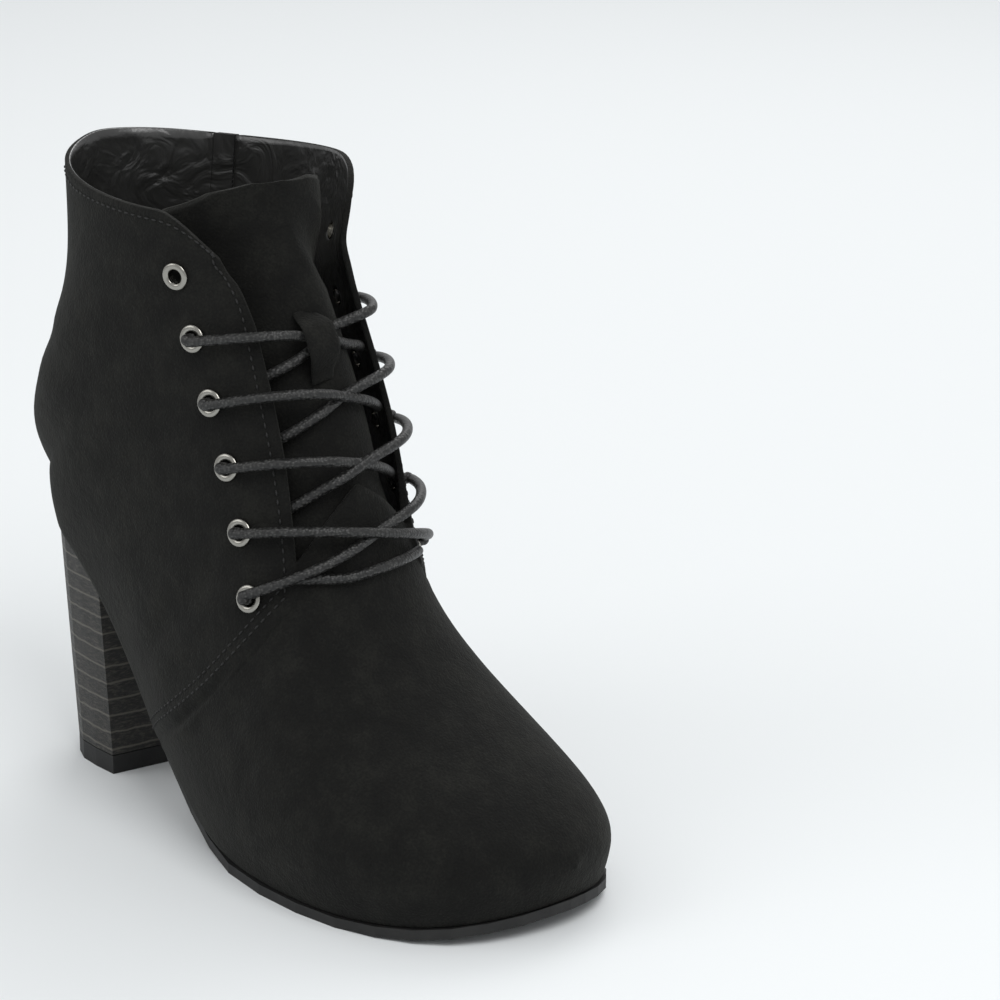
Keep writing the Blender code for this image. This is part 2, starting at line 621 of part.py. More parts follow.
def slab(stations, columns, top_of, low_of, name, look):
    """Solid between two edges: a row of points across each station, its ends closed or brought to a point."""
    bm = bmesh.new()
    rows = []
    for lateral, medial in stations:
        if np.linalg.norm(lateral - medial) < 1e-6:
            rows.append((1, [bm.verts.new(top_of(lateral))], [bm.verts.new(low_of(lateral))]))
            continue
        across = [lateral + (medial - lateral) * c / columns for c in range(columns + 1)]
        rows.append((columns + 1, [bm.verts.new(top_of(p)) for p in across], [bm.verts.new(low_of(p)) for p in across]))
    for (n, top, low), (m, top2, low2) in zip(rows, rows[1:]):
        for grid, other in ((top, top2), (low, low2)):
            for c in range(columns):
                ring = []
                for v in (grid[min(c, n - 1)], grid[min(c + 1, n - 1)], other[min(c + 1, m - 1)], other[min(c, m - 1)]):
                    if v not in ring:
                        ring.append(v)
                bm.faces.new(ring)
        bm.faces.new((top[0], top2[0], low2[0], low[0]))
        bm.faces.new((top[-1], top2[-1], low2[-1], low[-1]))
    for n, top, low in (rows[0], rows[-1]):
        for c in range(n - 1):
            bm.faces.new((top[c], top[c + 1], low[c + 1], low[c]))
    return finish(bm, name, look)


def edge_rows(first, last):
    """Pairs of sections, outer and inner side, at which the upper's lower edge has its rows."""
    vamp = [(float(SEAM_AT(0.0)) * vamp_share(i),) * 2 for i in range(VAMP_ROWS + 1)]
    quarter = [(foot_section(-1, i), foot_section(1, i)) for i in range(SEAT_ROW + 1)]
    return (vamp + quarter)[first:last]


BREAST_STATION = VAMP_ROWS + 1 + BREAST_ROW


def build_outsole():
    """Thin sole under the forepart and arch: flat on the floor at the ball, with toe spring, up to the breast."""
    stations = []
    for s_lat, s_med in edge_rows(0, BREAST_STATION + 1):
        margin = SOLE_MARGIN - (SOLE_MARGIN + WAIST_INSET) * smooth(s_lat, 5.6, 7.6)
        stations.append(sole_pair(s_lat, s_med, margin))
    near_breast = [section_at(HEEL_LENGTH + skew + GAP) for skew in (0.0, BREAST_SKEW)]
    stations[-1] = sole_pair(*near_breast, -WAIST_INSET)
    down = np.array([0, 0, SOLE_THICKNESS])
    gap = np.array([0, 0, GAP])
    return slab(stations, 6, lambda p: p - gap, lambda p: p - down, "outsole", RUBBER)


def heel_stations(margin):
    return [sole_pair(s_lat, s_med, margin) for s_lat, s_med in edge_rows(BREAST_STATION, None)]


def heel_foot(p, z):
    """Where a point of the seat's outline comes down to at height z: raked at the back, tapered at the sides."""
    share = 1 - (z - TOP_LIFT) / (p[2] - TOP_LIFT) if z > TOP_LIFT else 1.0
    middle = CENTRE(SEAT) * BALL_WIDTH
    foot_x = HEEL_BACK_RAKE + p[0] * (HEEL_LENGTH - HEEL_BACK_RAKE) / HEEL_LENGTH
    foot_y = middle + (p[1] - middle) * HEEL_TAPER
    return np.array([p[0] + (foot_x - p[0]) * share, p[1] + (foot_y - p[1]) * share, z])


def build_heel():
    """Stacked block under the seat, and the lift that it stands on."""
    gap = np.array([0, 0, GAP])
    stations = heel_stations(-GAP)
    slab(stations, 4, lambda p: p - gap, lambda p: heel_foot(p, TOP_LIFT + GAP), "heel", STACK)
    slab(stations, 4, lambda p: heel_foot(p, TOP_LIFT), lambda p: heel_foot(p, 0.0), "top_lift", RUBBER)


def build_insole():
    """Sock on the sole and heel, inside the upper's wall."""
    inset = -(VAMP_WALL + INSOLE_CLEARANCE)
    stations = [sole_pair(s_lat, s_med, inset) for s_lat, s_med in edge_rows(1, -1)]
    under = np.array([0, 0, GAP])
    over = np.array([0, 0, GAP + INSOLE_THICKNESS])
    slab(stations, 6, lambda p: p + over, lambda p: p + under, "insole", LINING)


# Tongue, stitched under the vamp's edge, leaning into the shaft at its top
TONGUE_FOOT = 7.35
TONGUE_LATERAL = -0.46
TONGUE_MEDIAL = 0.30


def tongue_layer(s):
    return -(VAMP_WALL + TONGUE_DEPTH) - TONGUE_FALL * smooth(s, 7.6, 14.5)


def tongue_point(s, a, extra=0.0):
    p = offset_point(s, a, tongue_layer(s) + extra)
    outer_share = (TONGUE_MEDIAL - a) / (TONGUE_MEDIAL - TONGUE_LATERAL)
    lift = TONGUE_RISE * smooth(s, 13.0, COLLAR) - TONGUE_DROP * smooth(s, 12.0, COLLAR) * outer_share
    return p + np.array([0, 0, lift - medial_rise(s, a)])


def build_tongue():
    rows, columns = 22, 8
    outer = []
    inner = []
    for i in range(rows + 1):
        s = TONGUE_FOOT + (COLLAR - TONGUE_FOOT) * i / rows
        width = TONGUE_MEDIAL - TONGUE_LATERAL
        shares = [TONGUE_LATERAL + width * c / columns for c in range(columns + 1)]
        outer.append([tongue_point(s, a) for a in shares])
        inner.append([tongue_point(s, a, -TONGUE_WALL) for a in shares])
    sheet(outer, inner, "tongue", SUEDE)


KEEPER_TOP = 10.70
KEEPER_FOOT = 9.57
KEEPER_EDGES = (-0.08, 0.02)


def build_keeper():
    """Strip sewn to the tongue at its ends, arched over the lace in between."""
    rows, columns = 10, 2
    outer = []
    inner = []
    for i in range(rows + 1):
        s = KEEPER_FOOT + (KEEPER_TOP - KEEPER_FOOT) * i / rows
        low = 2 * GAP + KEEPER_ROOM * smooth(math.sin(math.pi * i / rows), 0.15, 0.9)
        a0, a1 = KEEPER_EDGES
        shares = [a0 + (a1 - a0) * c / columns for c in range(columns + 1)]
        outer.append([tongue_point(s, a, low + KEEPER_WALL) for a in shares])
        inner.append([tongue_point(s, a, low) for a in shares])
    sheet(outer, inner, "lace_keeper", SUEDE)


# Lace: crossings between the flaps, each a pair of strands joined where they cross


def flap_layer(side, s):
    """Outer offset of a flap at its front edge."""
    return float(quarter_layers(side, s, 1.0)[0])


STRAND_STEPS = 16
KEEPER_STEPS = 3         # steps to each side of a crossing for which the keeper holds it down


def strand_path(start_side, start, end_side, end, shares):
    """The lace's way over the last from one eyelet to another: where the plane of its pull cuts the instep."""
    s0, v0 = EYELET_PLACES[start_side][start]
    s1, v1 = EYELET_PLACES[end_side][end]
    first = quarter_point(start_side, s0, v0)
    pull = quarter_point(end_side, s1, v1) - first
    plane = np.cross(pull, last_normal((s0 + s1) / 2, 0.0))
    sections = np.linspace(min(s0, s1) - 1.0, max(s0, s1) + 2.5, 300)
    path = []
    for a in np.linspace(*shares, STRAND_STEPS + 1):
        side = (last_point(sections, a) - first) @ plane
        k = int(np.clip(np.argmin(np.abs(side)), 1, len(sections) - 2))
        slope = (side[k + 1] - side[k - 1]) / (sections[k + 1] - sections[k - 1])
        path.append((float(sections[k] - side[k] / slope), float(a)))
    return path


def rest_height(s, a):
    """Height over the last at which a strand clears the vamp in front of the throat, or else the tongue."""
    throat = SEAM_AT(1.0) + STEP_RUN + THROAT_SHARE * (COLLAR - SEAM_AT(1.0)) + THROAT_PEAK
    floor = 0.0 if s < throat + 0.15 - abs(a) else tongue_layer(s)
    return floor + LACE_RADIUS + LACE_OVER


def over_height(side, s):
    return flap_layer(side, s) + GAP + EYELET_PROUD + LACE_RADIUS + LACE_OVER


def strand_points(path, start_side, crossing, raised, outside, settle):
    """Over the first flap, down to the crossing, then over the other flap's edge or under it."""
    heights = [over_height(start_side, path[0][0]), rest_height(*path[crossing]) + raised]
    if outside:
        heights.append(over_height(-start_side, path[-1][0]))
    else:
        heights.append(flap_layer(-start_side, path[-1][0]) - QUARTER_WALL - LACE_RADIUS - LACE_OVER)
    edge = next(k for k, (s, a) in enumerate(path) if a * start_side < EDGE(s) - 0.02)
    last = STRAND_STEPS - 1
    if outside:
        last = next(k for k, (s, a) in enumerate(path) if -a * start_side > EDGE(s) - 0.02)
    points = []
    for k, (s, a) in enumerate(path):
        if k <= crossing:
            q = heights[0] + (heights[1] - heights[0]) * float(smooth(k, edge, crossing - settle))
        else:
            q = heights[1] + (heights[2] - heights[1]) * float(smooth(k, crossing + settle, last))
        points.append(offset_point(s, a, max(q, rest_height(s, a))))
    return points


def strand_shares(start_side, start, end, outside):
    """Shares of the half section between which a strand runs."""
    s0, v0 = EYELET_PLACES[start_side][start]
    s1, v1 = EYELET_PLACES[-start_side][end]
    last = flap_a(-start_side, s1, v1) if outside else -start_side * (EDGE(s1) + LACE_TUCK)
    return float(flap_a(start_side, s0, v0)), float(last)


def build_laces():
    """The bar at the foot of the lacing, then the crossings above it, numbered from the toe up."""
    lowest = EYELETS - 1
    edge = float(EDGE(LOWEST_EYELET)) - LACE_TUCK
    bar = strand_path(-1, lowest, 1, lowest, (-edge, edge))
    finish(tube([offset_point(s, a, rest_height(s, a)) for s, a in bar], LACE_RADIUS), "lace_bar", CORD)
    for n in range(1, EYELETS - 1):
        k = lowest - n
        outside = n == 1
        settle = KEEPER_STEPS if n == EYELETS - 2 else 0
        paths = [strand_path(side, k, -side, k + 1, strand_shares(side, k, k + 1, outside)) for side in (-1, 1)]
        rows = [np.array([last_point(s, a) for s, a in path]) for path in paths]
        far = np.linalg.norm(rows[0][:, None] - rows[1][None], axis=-1)
        i, j = np.unravel_index(np.argmin(far), far.shape)
        over = strand_points(paths[0], -1, i, 2 * LACE_RADIUS - CROSSING_BITE, outside, settle)
        under = strand_points(paths[1], 1, j, 0.0, outside, settle)
        thing = finish(tube(over, LACE_RADIUS), f"lace_cross_{n}", CORD)
        cut_out(thing, finish(tube(under, LACE_RADIUS), "other strand", CORD), "UNION")


# Zip on the inner side: a band of the wall, its slot, slider and pull


def zip_band(width, bottom_spare):
    """Prism through the inner wall along the zip's line, width across."""
    heights = [h for h, _ in ZIP_LINE]
    line = Curve([-h for h in heights], [r for _, r in ZIP_LINE])
    rows = 22
    path = []
    for k in range(rows + 1):
        h = heights[0] + (heights[-1] - heights[0]) * k / rows
        path.append(Vector((float(line(-h)) * LAST_LENGTH, 0, h * BOOT_HEIGHT)))
    path[-1] += (path[-1] - path[-2]).normalized() * bottom_spare
    near, far = 0.015, 0.060
    bm = bmesh.new()
    rings = []
    for i, p in enumerate(path):
        ahead = (path[min(i + 1, rows)] - path[max(i - 1, 0)]).normalized()
        across = Vector((-ahead.z, 0, ahead.x)) * width / 2
        corners = [p - across, p + across]
        rings.append([bm.verts.new((c.x, y, c.z)) for c, y in
                      ((corners[0], near), (corners[1], near), (corners[1], far), (corners[0], far))])
    for low, high in zip(rings, rings[1:]):
        for k in range(4):
            bm.faces.new((low[k], low[(k + 1) % 4], high[(k + 1) % 4], high[k]))
    bm.faces.new(rings[0])
    bm.faces.new(list(reversed(rings[-1])))
    return finish(bm, "band", TAPE)


def build_zip(upper):
    tape = upper.copy()
    tape.data = upper.data.copy()
    tape.name = "zip"
    tape.data.materials.clear()
    tape.data.materials.append(material(*TAPE))
    bpy.context.collection.objects.link(tape)
    cut_out(upper, zip_band(ZIP_WIDTH + 2 * GAP, GAP))
    cut_out(tape, zip_band(ZIP_WIDTH, 0.0), "INTERSECT")


def inner_side_point(x, z):
    """Place and normal on the inner quarter's outer face at a given length and height."""
    sections, shares = np.meshgrid(np.linspace(10.0, 16.0, 241), np.linspace(0.1, 0.9, 161), indexing="ij")
    grid = quarter_point(1, sections, shares)
    far = (grid[..., 0] - x) ** 2 + (grid[..., 2] - z) ** 2
    best = np.unravel_index(np.argmin(far), far.shape)
    return quarter_frame(1, float(sections[best]), float(shares[best]))


def block(size, centre, frame):
    """Box of the given size about a centre, in a frame's axes, as a bmesh."""
    bm = bmesh.new()
    bmesh.ops.create_cube(bm, size=1.0)
    bmesh.ops.scale(bm, vec=size, verts=bm.verts)
    bmesh.ops.translate(bm, vec=centre, verts=bm.verts)
    bmesh.ops.transform(bm, matrix=frame, verts=bm.verts)
    return bm


def zip_frame():
    """Slider's frame: x along the boot, y down the zip, z out of the wall."""
    share = 0.945
    line = Curve([-h for h, _ in ZIP_LINE], [r for _, r in ZIP_LINE])
    place, out = inner_side_point(float(line(-share)) * LAST_LENGTH, share * BOOT_HEIGHT)
    down = Vector((0, 0, -1))
    down = (down - out * down.dot(out)).normalized()
    along = down.cross(out)
    frame = Matrix((along, down, out)).transposed().to_4x4()
    frame.translation = place
    return frame


def build_slider():
    frame = zip_frame()
    base = 3 * GAP
    top = base + SLIDER_PLATE
    slider = finish(block((SLIDER_WIDTH, SLIDER_LENGTH, SLIDER_PLATE), (0, 0, base + SLIDER_PLATE / 2), frame),
                    "zip_slider", NICKEL)
    bite = 0.0002
    post = BRIDGE_BAR
    height = BRIDGE_ROOM + BRIDGE_BAR + bite
    for y in (-BRIDGE_ROOM / 2 - post / 2, BRIDGE_ROOM / 2 + post / 2):
        part = block((BRIDGE_WIDTH, post, height), (0, y, top - bite + height / 2), frame)
        cut_out(slider, finish(part, "post", NICKEL), "UNION")
    bar = block((BRIDGE_WIDTH, BRIDGE_ROOM + post, BRIDGE_BAR), (0, 0, top + BRIDGE_ROOM + BRIDGE_BAR / 2), frame)
    cut_out(slider, finish(bar, "bar", NICKEL), "UNION")
    axis_height = top + BRIDGE_ROOM / 2
    empty = bpy.data.objects.new("pull_axis", None)
    along = frame.col[0].to_3d()
    hanging = Vector((0, 0, -1))
    empty.matrix_world = Matrix((along, hanging, along.cross(hanging))).transposed().to_4x4()
    empty.matrix_world.translation = frame @ Vector((0, 0, axis_height))
    bpy.context.collection.objects.link(empty)
    hole = BRIDGE_BAR / 2 + 0.0001
    length = PULL_LENGTH
    pull = finish(block((PULL_WIDTH, length, PULL_PLATE), (0, length / 2 - hole, 0), Matrix.Identity(4)),
                  "zip_pull", NICKEL)
    slot = block((PULL_SLOT_WIDTH, PULL_SLOT_LENGTH, 3 * PULL_PLATE),
                 (0, hole + PULL_SLOT_LENGTH / 2, 0), Matrix.Identity(4))
    cut_out(pull, finish(slot, "slot", NICKEL))
    pull.parent = empty


def centre_on_floor():
    """Move everything so that the origin is the middle of the boot's footprint, on the floor."""
    meshes = [thing for thing in bpy.data.objects if thing.type == "MESH"]
    bpy.context.view_layer.update()
    points = np.array([thing.matrix_world @ v.co for thing in meshes for v in thing.data.vertices])
    low, high = points.min(0), points.max(0)
    shift = Vector((-(low[0] + high[0]) / 2, -(low[1] + high[1]) / 2, -low[2]))
    for thing in bpy.data.objects:
        if thing.parent is None:
            thing.matrix_world = Matrix.Translation(shift) @ thing.matrix_world


def build():
    upper = build_upper()
    build_outsole()
    build_heel()
    build_insole()
    build_tongue()
    build_keeper()
    build_eyelets(upper)
    build_zip(upper)
    build_slider()
    build_laces()
    centre_on_floor()


build()
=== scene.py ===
# %% [markdown]
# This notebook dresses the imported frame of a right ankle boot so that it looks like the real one. The frame
# says where everything is, in metres, so each visual piece is made in place and rides on a body.

# %% Load the frame
import math

import bmesh
import bpy
import numpy as np
from mathutils import Matrix, Vector
from mathutils.bvhtree import BVHTree


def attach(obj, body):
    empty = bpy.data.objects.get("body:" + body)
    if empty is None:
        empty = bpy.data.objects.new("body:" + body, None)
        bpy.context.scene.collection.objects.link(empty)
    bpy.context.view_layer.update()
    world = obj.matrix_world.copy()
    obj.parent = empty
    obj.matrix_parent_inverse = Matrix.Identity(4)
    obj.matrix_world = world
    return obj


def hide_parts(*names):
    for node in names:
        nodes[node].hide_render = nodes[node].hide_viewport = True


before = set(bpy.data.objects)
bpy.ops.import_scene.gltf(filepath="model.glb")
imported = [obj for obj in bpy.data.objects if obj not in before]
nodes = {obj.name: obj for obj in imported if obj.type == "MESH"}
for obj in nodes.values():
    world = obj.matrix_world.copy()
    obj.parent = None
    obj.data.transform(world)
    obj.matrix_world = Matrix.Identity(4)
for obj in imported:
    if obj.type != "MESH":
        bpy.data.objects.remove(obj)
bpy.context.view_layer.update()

BOOT = "boot"
print("pieces of the frame:", len(nodes))

# %% [markdown]
# The camera comes first. It looks down a little on the boot's outer side and toe, from about a metre and a
# quarter, with a long lens that keeps heel and toe in scale.

# %% Camera
camera_place = Vector((0.8909, -0.7334, 0.5075))
camera_aim = Vector((-0.1897, 0.2647, 0.0))
bpy.ops.object.camera_add(location=camera_place)
camera = bpy.context.object
camera.rotation_euler = (camera_aim - camera_place).to_track_quat("-Z", "Y").to_euler()
camera.data.lens = 138.0
camera.data.sensor_width = 36.0
bpy.context.scene.camera = camera
print("camera looks from", [round(c, 2) for c in camera_place])

# %% [markdown]
# Small helpers carry the whole notebook. Colours are written as the hex values that a paint chart gives and
# are turned to linear light by one function, and one function adds a shader node with its settings and
# links. A pattern is given by the width of its spots on the real material, in millimetres.

# %% Colour and node helpers


def linear(code):
    """Linear colour of an sRGB hex value."""
    parts = [int(code[i:i + 2], 16) / 255 for i in (1, 3, 5)]
    return tuple(c / 12.92 if c <= 0.04045 else ((c + 0.055) / 1.055) ** 2.4 for c in parts) + (1.0,)


def add_node(material, kind, inputs, **settings):
    """Add a shader node; an input is a number, a colour or another node's output."""
    tree = material.node_tree
    node = tree.nodes.new(kind)
    for key, value in settings.items():
        setattr(node, key, value)
    for key, value in inputs.items():
        if isinstance(value, bpy.types.NodeSocket):
            tree.links.new(value, node.inputs[key])
        else:
            node.inputs[key].default_value = value
    return node


def colour_ramp(material, factor, stops):
    """Colours between the stops, chosen by a pattern; a stop is its place from 0 to 1 and a hex value."""
    ramp = add_node(material, "ShaderNodeValToRGB", {"Fac": factor})
    while len(ramp.color_ramp.elements) < len(stops):
        ramp.color_ramp.elements.new(0.5)
    for element, (place, code) in zip(ramp.color_ramp.elements, stops):
        element.position = place
        element.color = linear(code)
    return ramp.outputs["Color"]


def new_material(name, roughness, metallic=0.0, colour="#202020"):
    """A material with its three main values set, and its shader for the rest."""
    material = bpy.data.materials.new(name)
    material.use_nodes = True
    shader = material.node_tree.nodes["Principled BSDF"]
    shader.inputs["Roughness"].default_value = roughness
    shader.inputs["Metallic"].default_value = metallic
    shader.inputs["Base Color"].default_value = linear(colour)
    return material, shader


def object_place(material):
    """Place on the piece, which every pattern reads."""
    return add_node(material, "ShaderNodeTexCoord", {}).outputs["Object"]


def per_metre(millimetres):
    """Scale of a pattern whose spots are this wide."""
    return 1000.0 / millimetres


def noise(material, spot_width, detail=3.0, vector=None, roughness=0.5):
    """Soft random spots of about the given width in millimetres."""
    place = vector or object_place(material)
    inputs = {"Vector": place, "Scale": per_metre(spot_width), "Detail": detail, "Roughness": roughness}
    node = add_node(material, "ShaderNodeTexNoise", inputs)
    return node.outputs["Fac"]


def bump(material, shader, height, distance, strength=1.0, under=None):
    """Relief from a pattern, laid over the relief that is given as under."""
    inputs = {"Height": height, "Distance": distance, "Strength": strength}
    if under is not None:
        inputs["Normal"] = under
    node = add_node(material, "ShaderNodeBump", inputs)
    material.node_tree.links.new(node.outputs["Normal"], shader.inputs["Normal"])
    return node.outputs["Normal"]


print("linear mid grey:", round(linear("#808080")[0], 3))

# %% [markdown]
# The upper is a microfibre suede, almost black with a warm cast. Its nap lies in soft patches a centimetre
# or so wide, so the colour is mottled, and the raised fibres catch a pale sheen at glancing angles. A sheen
# layer gives that rim, and two bumps give the fibre tufts and the marks that fingers leave.

# %% Brushed microfibre suede
# widths of the patches, marks and tufts on the real suede, in millimetres
NAP_PATCH = 10.53
FINGER_MARK = 4.17
FIBRE_TUFT = 0.769
suede, suede_shader = new_material("brushed microfibre suede", 0.9)
patches = noise(suede, NAP_PATCH, 4.0, roughness=0.6)
tufts = noise(suede, FIBRE_TUFT, 2.0)
mottle = add_node(suede, "ShaderNodeMix", {"Factor": 0.42, "A": patches, "B": tufts}, data_type="FLOAT")
nap_colour = colour_ramp(suede, mottle.outputs["Result"],
                         [(0.36, "#050504"), (0.50, "#0c0c0a"), (0.64, "#171714")])
suede.node_tree.links.new(nap_colour, suede_shader.inputs["Base Color"])
suede_shader.inputs["Sheen Weight"].default_value = 0.10
suede_shader.inputs["Sheen Roughness"].default_value = 0.45
suede_shader.inputs["Sheen Tint"].default_value = linear("#9a9c94")
suede_shader.inputs["Specular IOR Level"].default_value = 0.25
mark_bump = bump(suede, suede_shader, noise(suede, FINGER_MARK, 3.0), 0.0009, 0.5)
bump(suede, suede_shader, tufts, 0.00045, 0.8, mark_bump)
print("suede patches are about", round(NAP_PATCH), "mm wide")

# %% [markdown]
# The lining is a thin coated textile with a gloss. It wrinkles where it is pulled over the collar's
# padding, which shows as bright broken lines along the rim.

# %% Coated lining
WRINKLE = 13.89
lining, lining_shader = new_material("coated lining", 0.30, colour="#262625")
wrinkles = add_node(lining, "ShaderNodeTexNoise",
                    {"Vector": object_place(lining), "Scale": per_metre(WRINKLE),
                     "Detail": 3.0, "Distortion": 1.1})
lining_shader.inputs["Coat Weight"].default_value = 0.6
lining_shader.inputs["Coat Roughness"].default_value = 0.25
bump(lining, lining_shader, wrinkles.outputs["Fac"], 0.0028, 0.7)
print("lining wrinkles are about", round(WRINKLE), "mm apart")

# %% [markdown]
# The heel is built of stacked leather board and inked black. The edges of the boards, about six millimetres
# thick, show as thin paler lines around the block, and the pressed fibres run along them. A wave texture of
# scale one has a period of 314 millimetres, which turns a real thickness into its scale.

# %% Inked leather board
WAVE_PERIOD = 314.0
BOARD_THICKNESS = 6.0
BOARD_FIBRE = 2.38
FLATTENED = (1.0, 1.0, 3.5)
board, board_shader = new_material("inked leather board", 0.55)
stack = add_node(board, "ShaderNodeTexWave",
                 {"Vector": object_place(board), "Scale": WAVE_PERIOD / BOARD_THICKNESS,
                  "Distortion": 0.8, "Detail": 2.0, "Detail Scale": 3.0},
                 wave_type="BANDS", bands_direction="Z", wave_profile="SIN")
stretch = add_node(board, "ShaderNodeMapping", {"Vector": object_place(board), "Scale": FLATTENED})
fibres = noise(board, BOARD_FIBRE, 6.0, stretch.outputs["Vector"], 0.7)
fibre_colour = colour_ramp(board, fibres, [(0.36, "#080807"), (0.50, "#191815"), (0.66, "#403d37")])
line = colour_ramp(board, stack.outputs["Fac"], [(0.93, "#000000"), (0.995, "#ffffff")])
FIRST_COLOUR, SECOND_COLOUR, MIXED_COLOUR = 6, 7, 2
boards = add_node(board, "ShaderNodeMix",
                  {"Factor": line, FIRST_COLOUR: fibre_colour, SECOND_COLOUR: linear("#54514a")},
                  data_type="RGBA")
board.node_tree.links.new(boards.outputs[MIXED_COLOUR], board_shader.inputs["Base Color"])
fibre_bump = bump(board, board_shader, fibres, 0.0006, 0.8)
bump(board, board_shader, line, 0.00025, 0.6, fibre_bump)
print("a board is", BOARD_THICKNESS, "mm thick")

# %% [markdown]
# The outsole and the lift under the heel are moulded rubber: dark, faintly grey, and duller than the heel.

# %% Moulded rubber
DUST_SPOT = 6.25
RUBBER_GRAIN = 1.43
rubber, rubber_shader = new_material("moulded rubber", 0.62)
dust = noise(rubber, DUST_SPOT, 5.0)
rubber_colour = colour_ramp(rubber, dust, [(0.35, "#0b0b0b"), (0.65, "#181817")])
rubber.node_tree.links.new(rubber_colour, rubber_shader.inputs["Base Color"])
bump(rubber, rubber_shader, noise(rubber, RUBBER_GRAIN, 2.0), 0.0002, 0.4)
print("rubber grain, mm:", RUBBER_GRAIN)

# %% [markdown]
# The lace is a round waxed cotton cord, not quite four millimetres thick. Its braid breaks the light into
# speckles, so a cell pattern as fine as the braid's strands drives its bump and its colour: painted
# highlights on the middles of the strands and painted shade in the gaps between them, over the cord's dark
# grey.

# %% Waxed cotton cord
BRAID_CELL = 1.1
cord, cord_shader = new_material("waxed cotton cord", 0.42)
braid = add_node(cord, "ShaderNodeTexVoronoi",
                 {"Vector": object_place(cord), "Scale": per_metre(BRAID_CELL), "Randomness": 0.7})
# painted highlights on the strands' middles and painted shade in the gaps between them
braid_highlight_and_shade = colour_ramp(cord, braid.outputs["Distance"],
                           [(0.12, "#3c3c3a"), (0.42, "#1a1a19"), (0.75, "#080808")])
cord.node_tree.links.new(braid_highlight_and_shade, cord_shader.inputs["Base Color"])
bump(cord, cord_shader, braid.outputs["Distance"], -0.0004, 0.8)
print("braid cells, mm:", BRAID_CELL)

# %% [markdown]
# Eyelets, slider and pull are nickel-plated brass, polished and a little dulled by handling. The zip's tape
# is woven polyester, and its chain is the same polymer with a slight gloss. The stitches are bonded thread.

# %% Nickel plate, woven tape and thread
HANDLING_MARK = 1.11
WEAVE_PITCH = 0.8
CHAIN_GRAIN = 0.667
THREAD_GRAIN = 0.333
nickel, nickel_shader = new_material("nickel plate", 0.2, 1.0, "#989690")
handling = noise(nickel, HANDLING_MARK, 3.0)
dulling = add_node(nickel, "ShaderNodeMapRange", {"Value": handling, "To Min": 0.12, "To Max": 0.30})
nickel.node_tree.links.new(dulling.outputs["Result"], nickel_shader.inputs["Roughness"])
tape, tape_shader = new_material("woven zip tape", 0.85, colour="#0c0c0c")
weave = add_node(tape, "ShaderNodeTexWave",
                 {"Vector": object_place(tape), "Scale": WAVE_PERIOD / WEAVE_PITCH},
                 wave_type="BANDS", bands_direction="Z", wave_profile="SIN")
bump(tape, tape_shader, weave.outputs["Fac"], 0.0003, 0.6)
chain, chain_shader = new_material("polyester zip chain", 0.4, colour="#1c1c1c")
bump(chain, chain_shader, noise(chain, CHAIN_GRAIN), 0.0001, 0.3)
thread, thread_shader = new_material("bonded thread", 0.6, colour="#0c0c0b")
bump(thread, thread_shader, noise(thread, THREAD_GRAIN), 0.0001, 0.5)
print("materials:", len(bpy.data.materials))

# %% [markdown]
# The frame's soft pieces are faceted. A copy of such a node is merged, its triangles are paired to quads
# again, its rims are creased, and a subdivision surface rounds it. The node itself stays in place, hidden.

# %% Refine a copy of a node


def refined(names, title, levels, crease, finishes, sharp=42):
    """One smooth mesh from copies of CAD nodes, in their place; edges over the sharp angle keep a crease."""
    bpy.ops.object.select_all(action="DESELECT")
    copies = []
    for name in names:
        copy = bpy.data.objects.new(title, nodes[name].data.copy())
        bpy.context.scene.collection.objects.link(copy)
        copies.append(copy)
        copy.select_set(True)
    piece = copies[0]
    bpy.context.view_layer.objects.active = piece
    if len(copies) > 1:
        bpy.ops.object.join()
    bpy.ops.object.mode_set(mode="EDIT")
    bpy.ops.mesh.select_all(action="SELECT")
    bpy.ops.mesh.customdata_custom_splitnormals_clear()
    bpy.ops.mesh.remove_doubles(threshold=2e-5)
    bpy.ops.mesh.tris_convert_to_quads(face_threshold=math.radians(50), shape_threshold=math.radians(70))
    bpy.ops.object.mode_set(mode="OBJECT")
    mesh = bmesh.new()
    mesh.from_mesh(piece.data)
    creases = mesh.edges.layers.float.new("crease_edge")
    for edge in mesh.edges:
        if edge.is_manifold and edge.calc_face_angle(0.0) > math.radians(sharp):
            edge[creases] = crease
    mesh.to_mesh(piece.data)
    mesh.free()
    smooth = piece.modifiers.new("rounding", "SUBSURF")
    smooth.levels = levels
    smooth.render_levels = levels
    bpy.ops.object.modifier_apply(modifier=smooth.name)
    bpy.ops.object.shade_smooth()
    piece.data.materials.clear()
    for finish in finishes:
        piece.data.materials.append(finish)
    for polygon in piece.data.polygons:
        polygon.material_index = 0
    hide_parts(*names)
    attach(piece, BOOT)
    piece.name = title
    return piece


upper = refined(["upper"], "upper_suede", 2, 0.75, [suede, lining])
print("upper faces:", len(upper.data.polygons))

# %% [markdown]
# The next steps press, bend and swell finished meshes. Two helpers read a piece's points and normals as
# rows of numbers and write the moved points back, and a third lets a ray find the piece's surface.

# %% Read and move points


def mesh_arrays(piece):
    """Points and normals of a piece, one row each."""
    count = len(piece.data.vertices)
    places = np.empty(count * 3)
    normals = np.empty(count * 3)
    piece.data.vertices.foreach_get("co", places)
    piece.data.vertices.foreach_get("normal", normals)
    return places.reshape(-1, 3), normals.reshape(-1, 3)


def move_points(piece, places):
    """Put the piece's points at new places."""
    piece.data.vertices.foreach_set("co", places.ravel())
    piece.data.update()


def surface_of(piece):
    """Search tree of the piece's faces."""
    points = [v.co for v in piece.data.vertices]
    return BVHTree.FromPolygons(points, [p.vertices[:] for p in piece.data.polygons])


print("upper points:", len(mesh_arrays(upper)[0]))
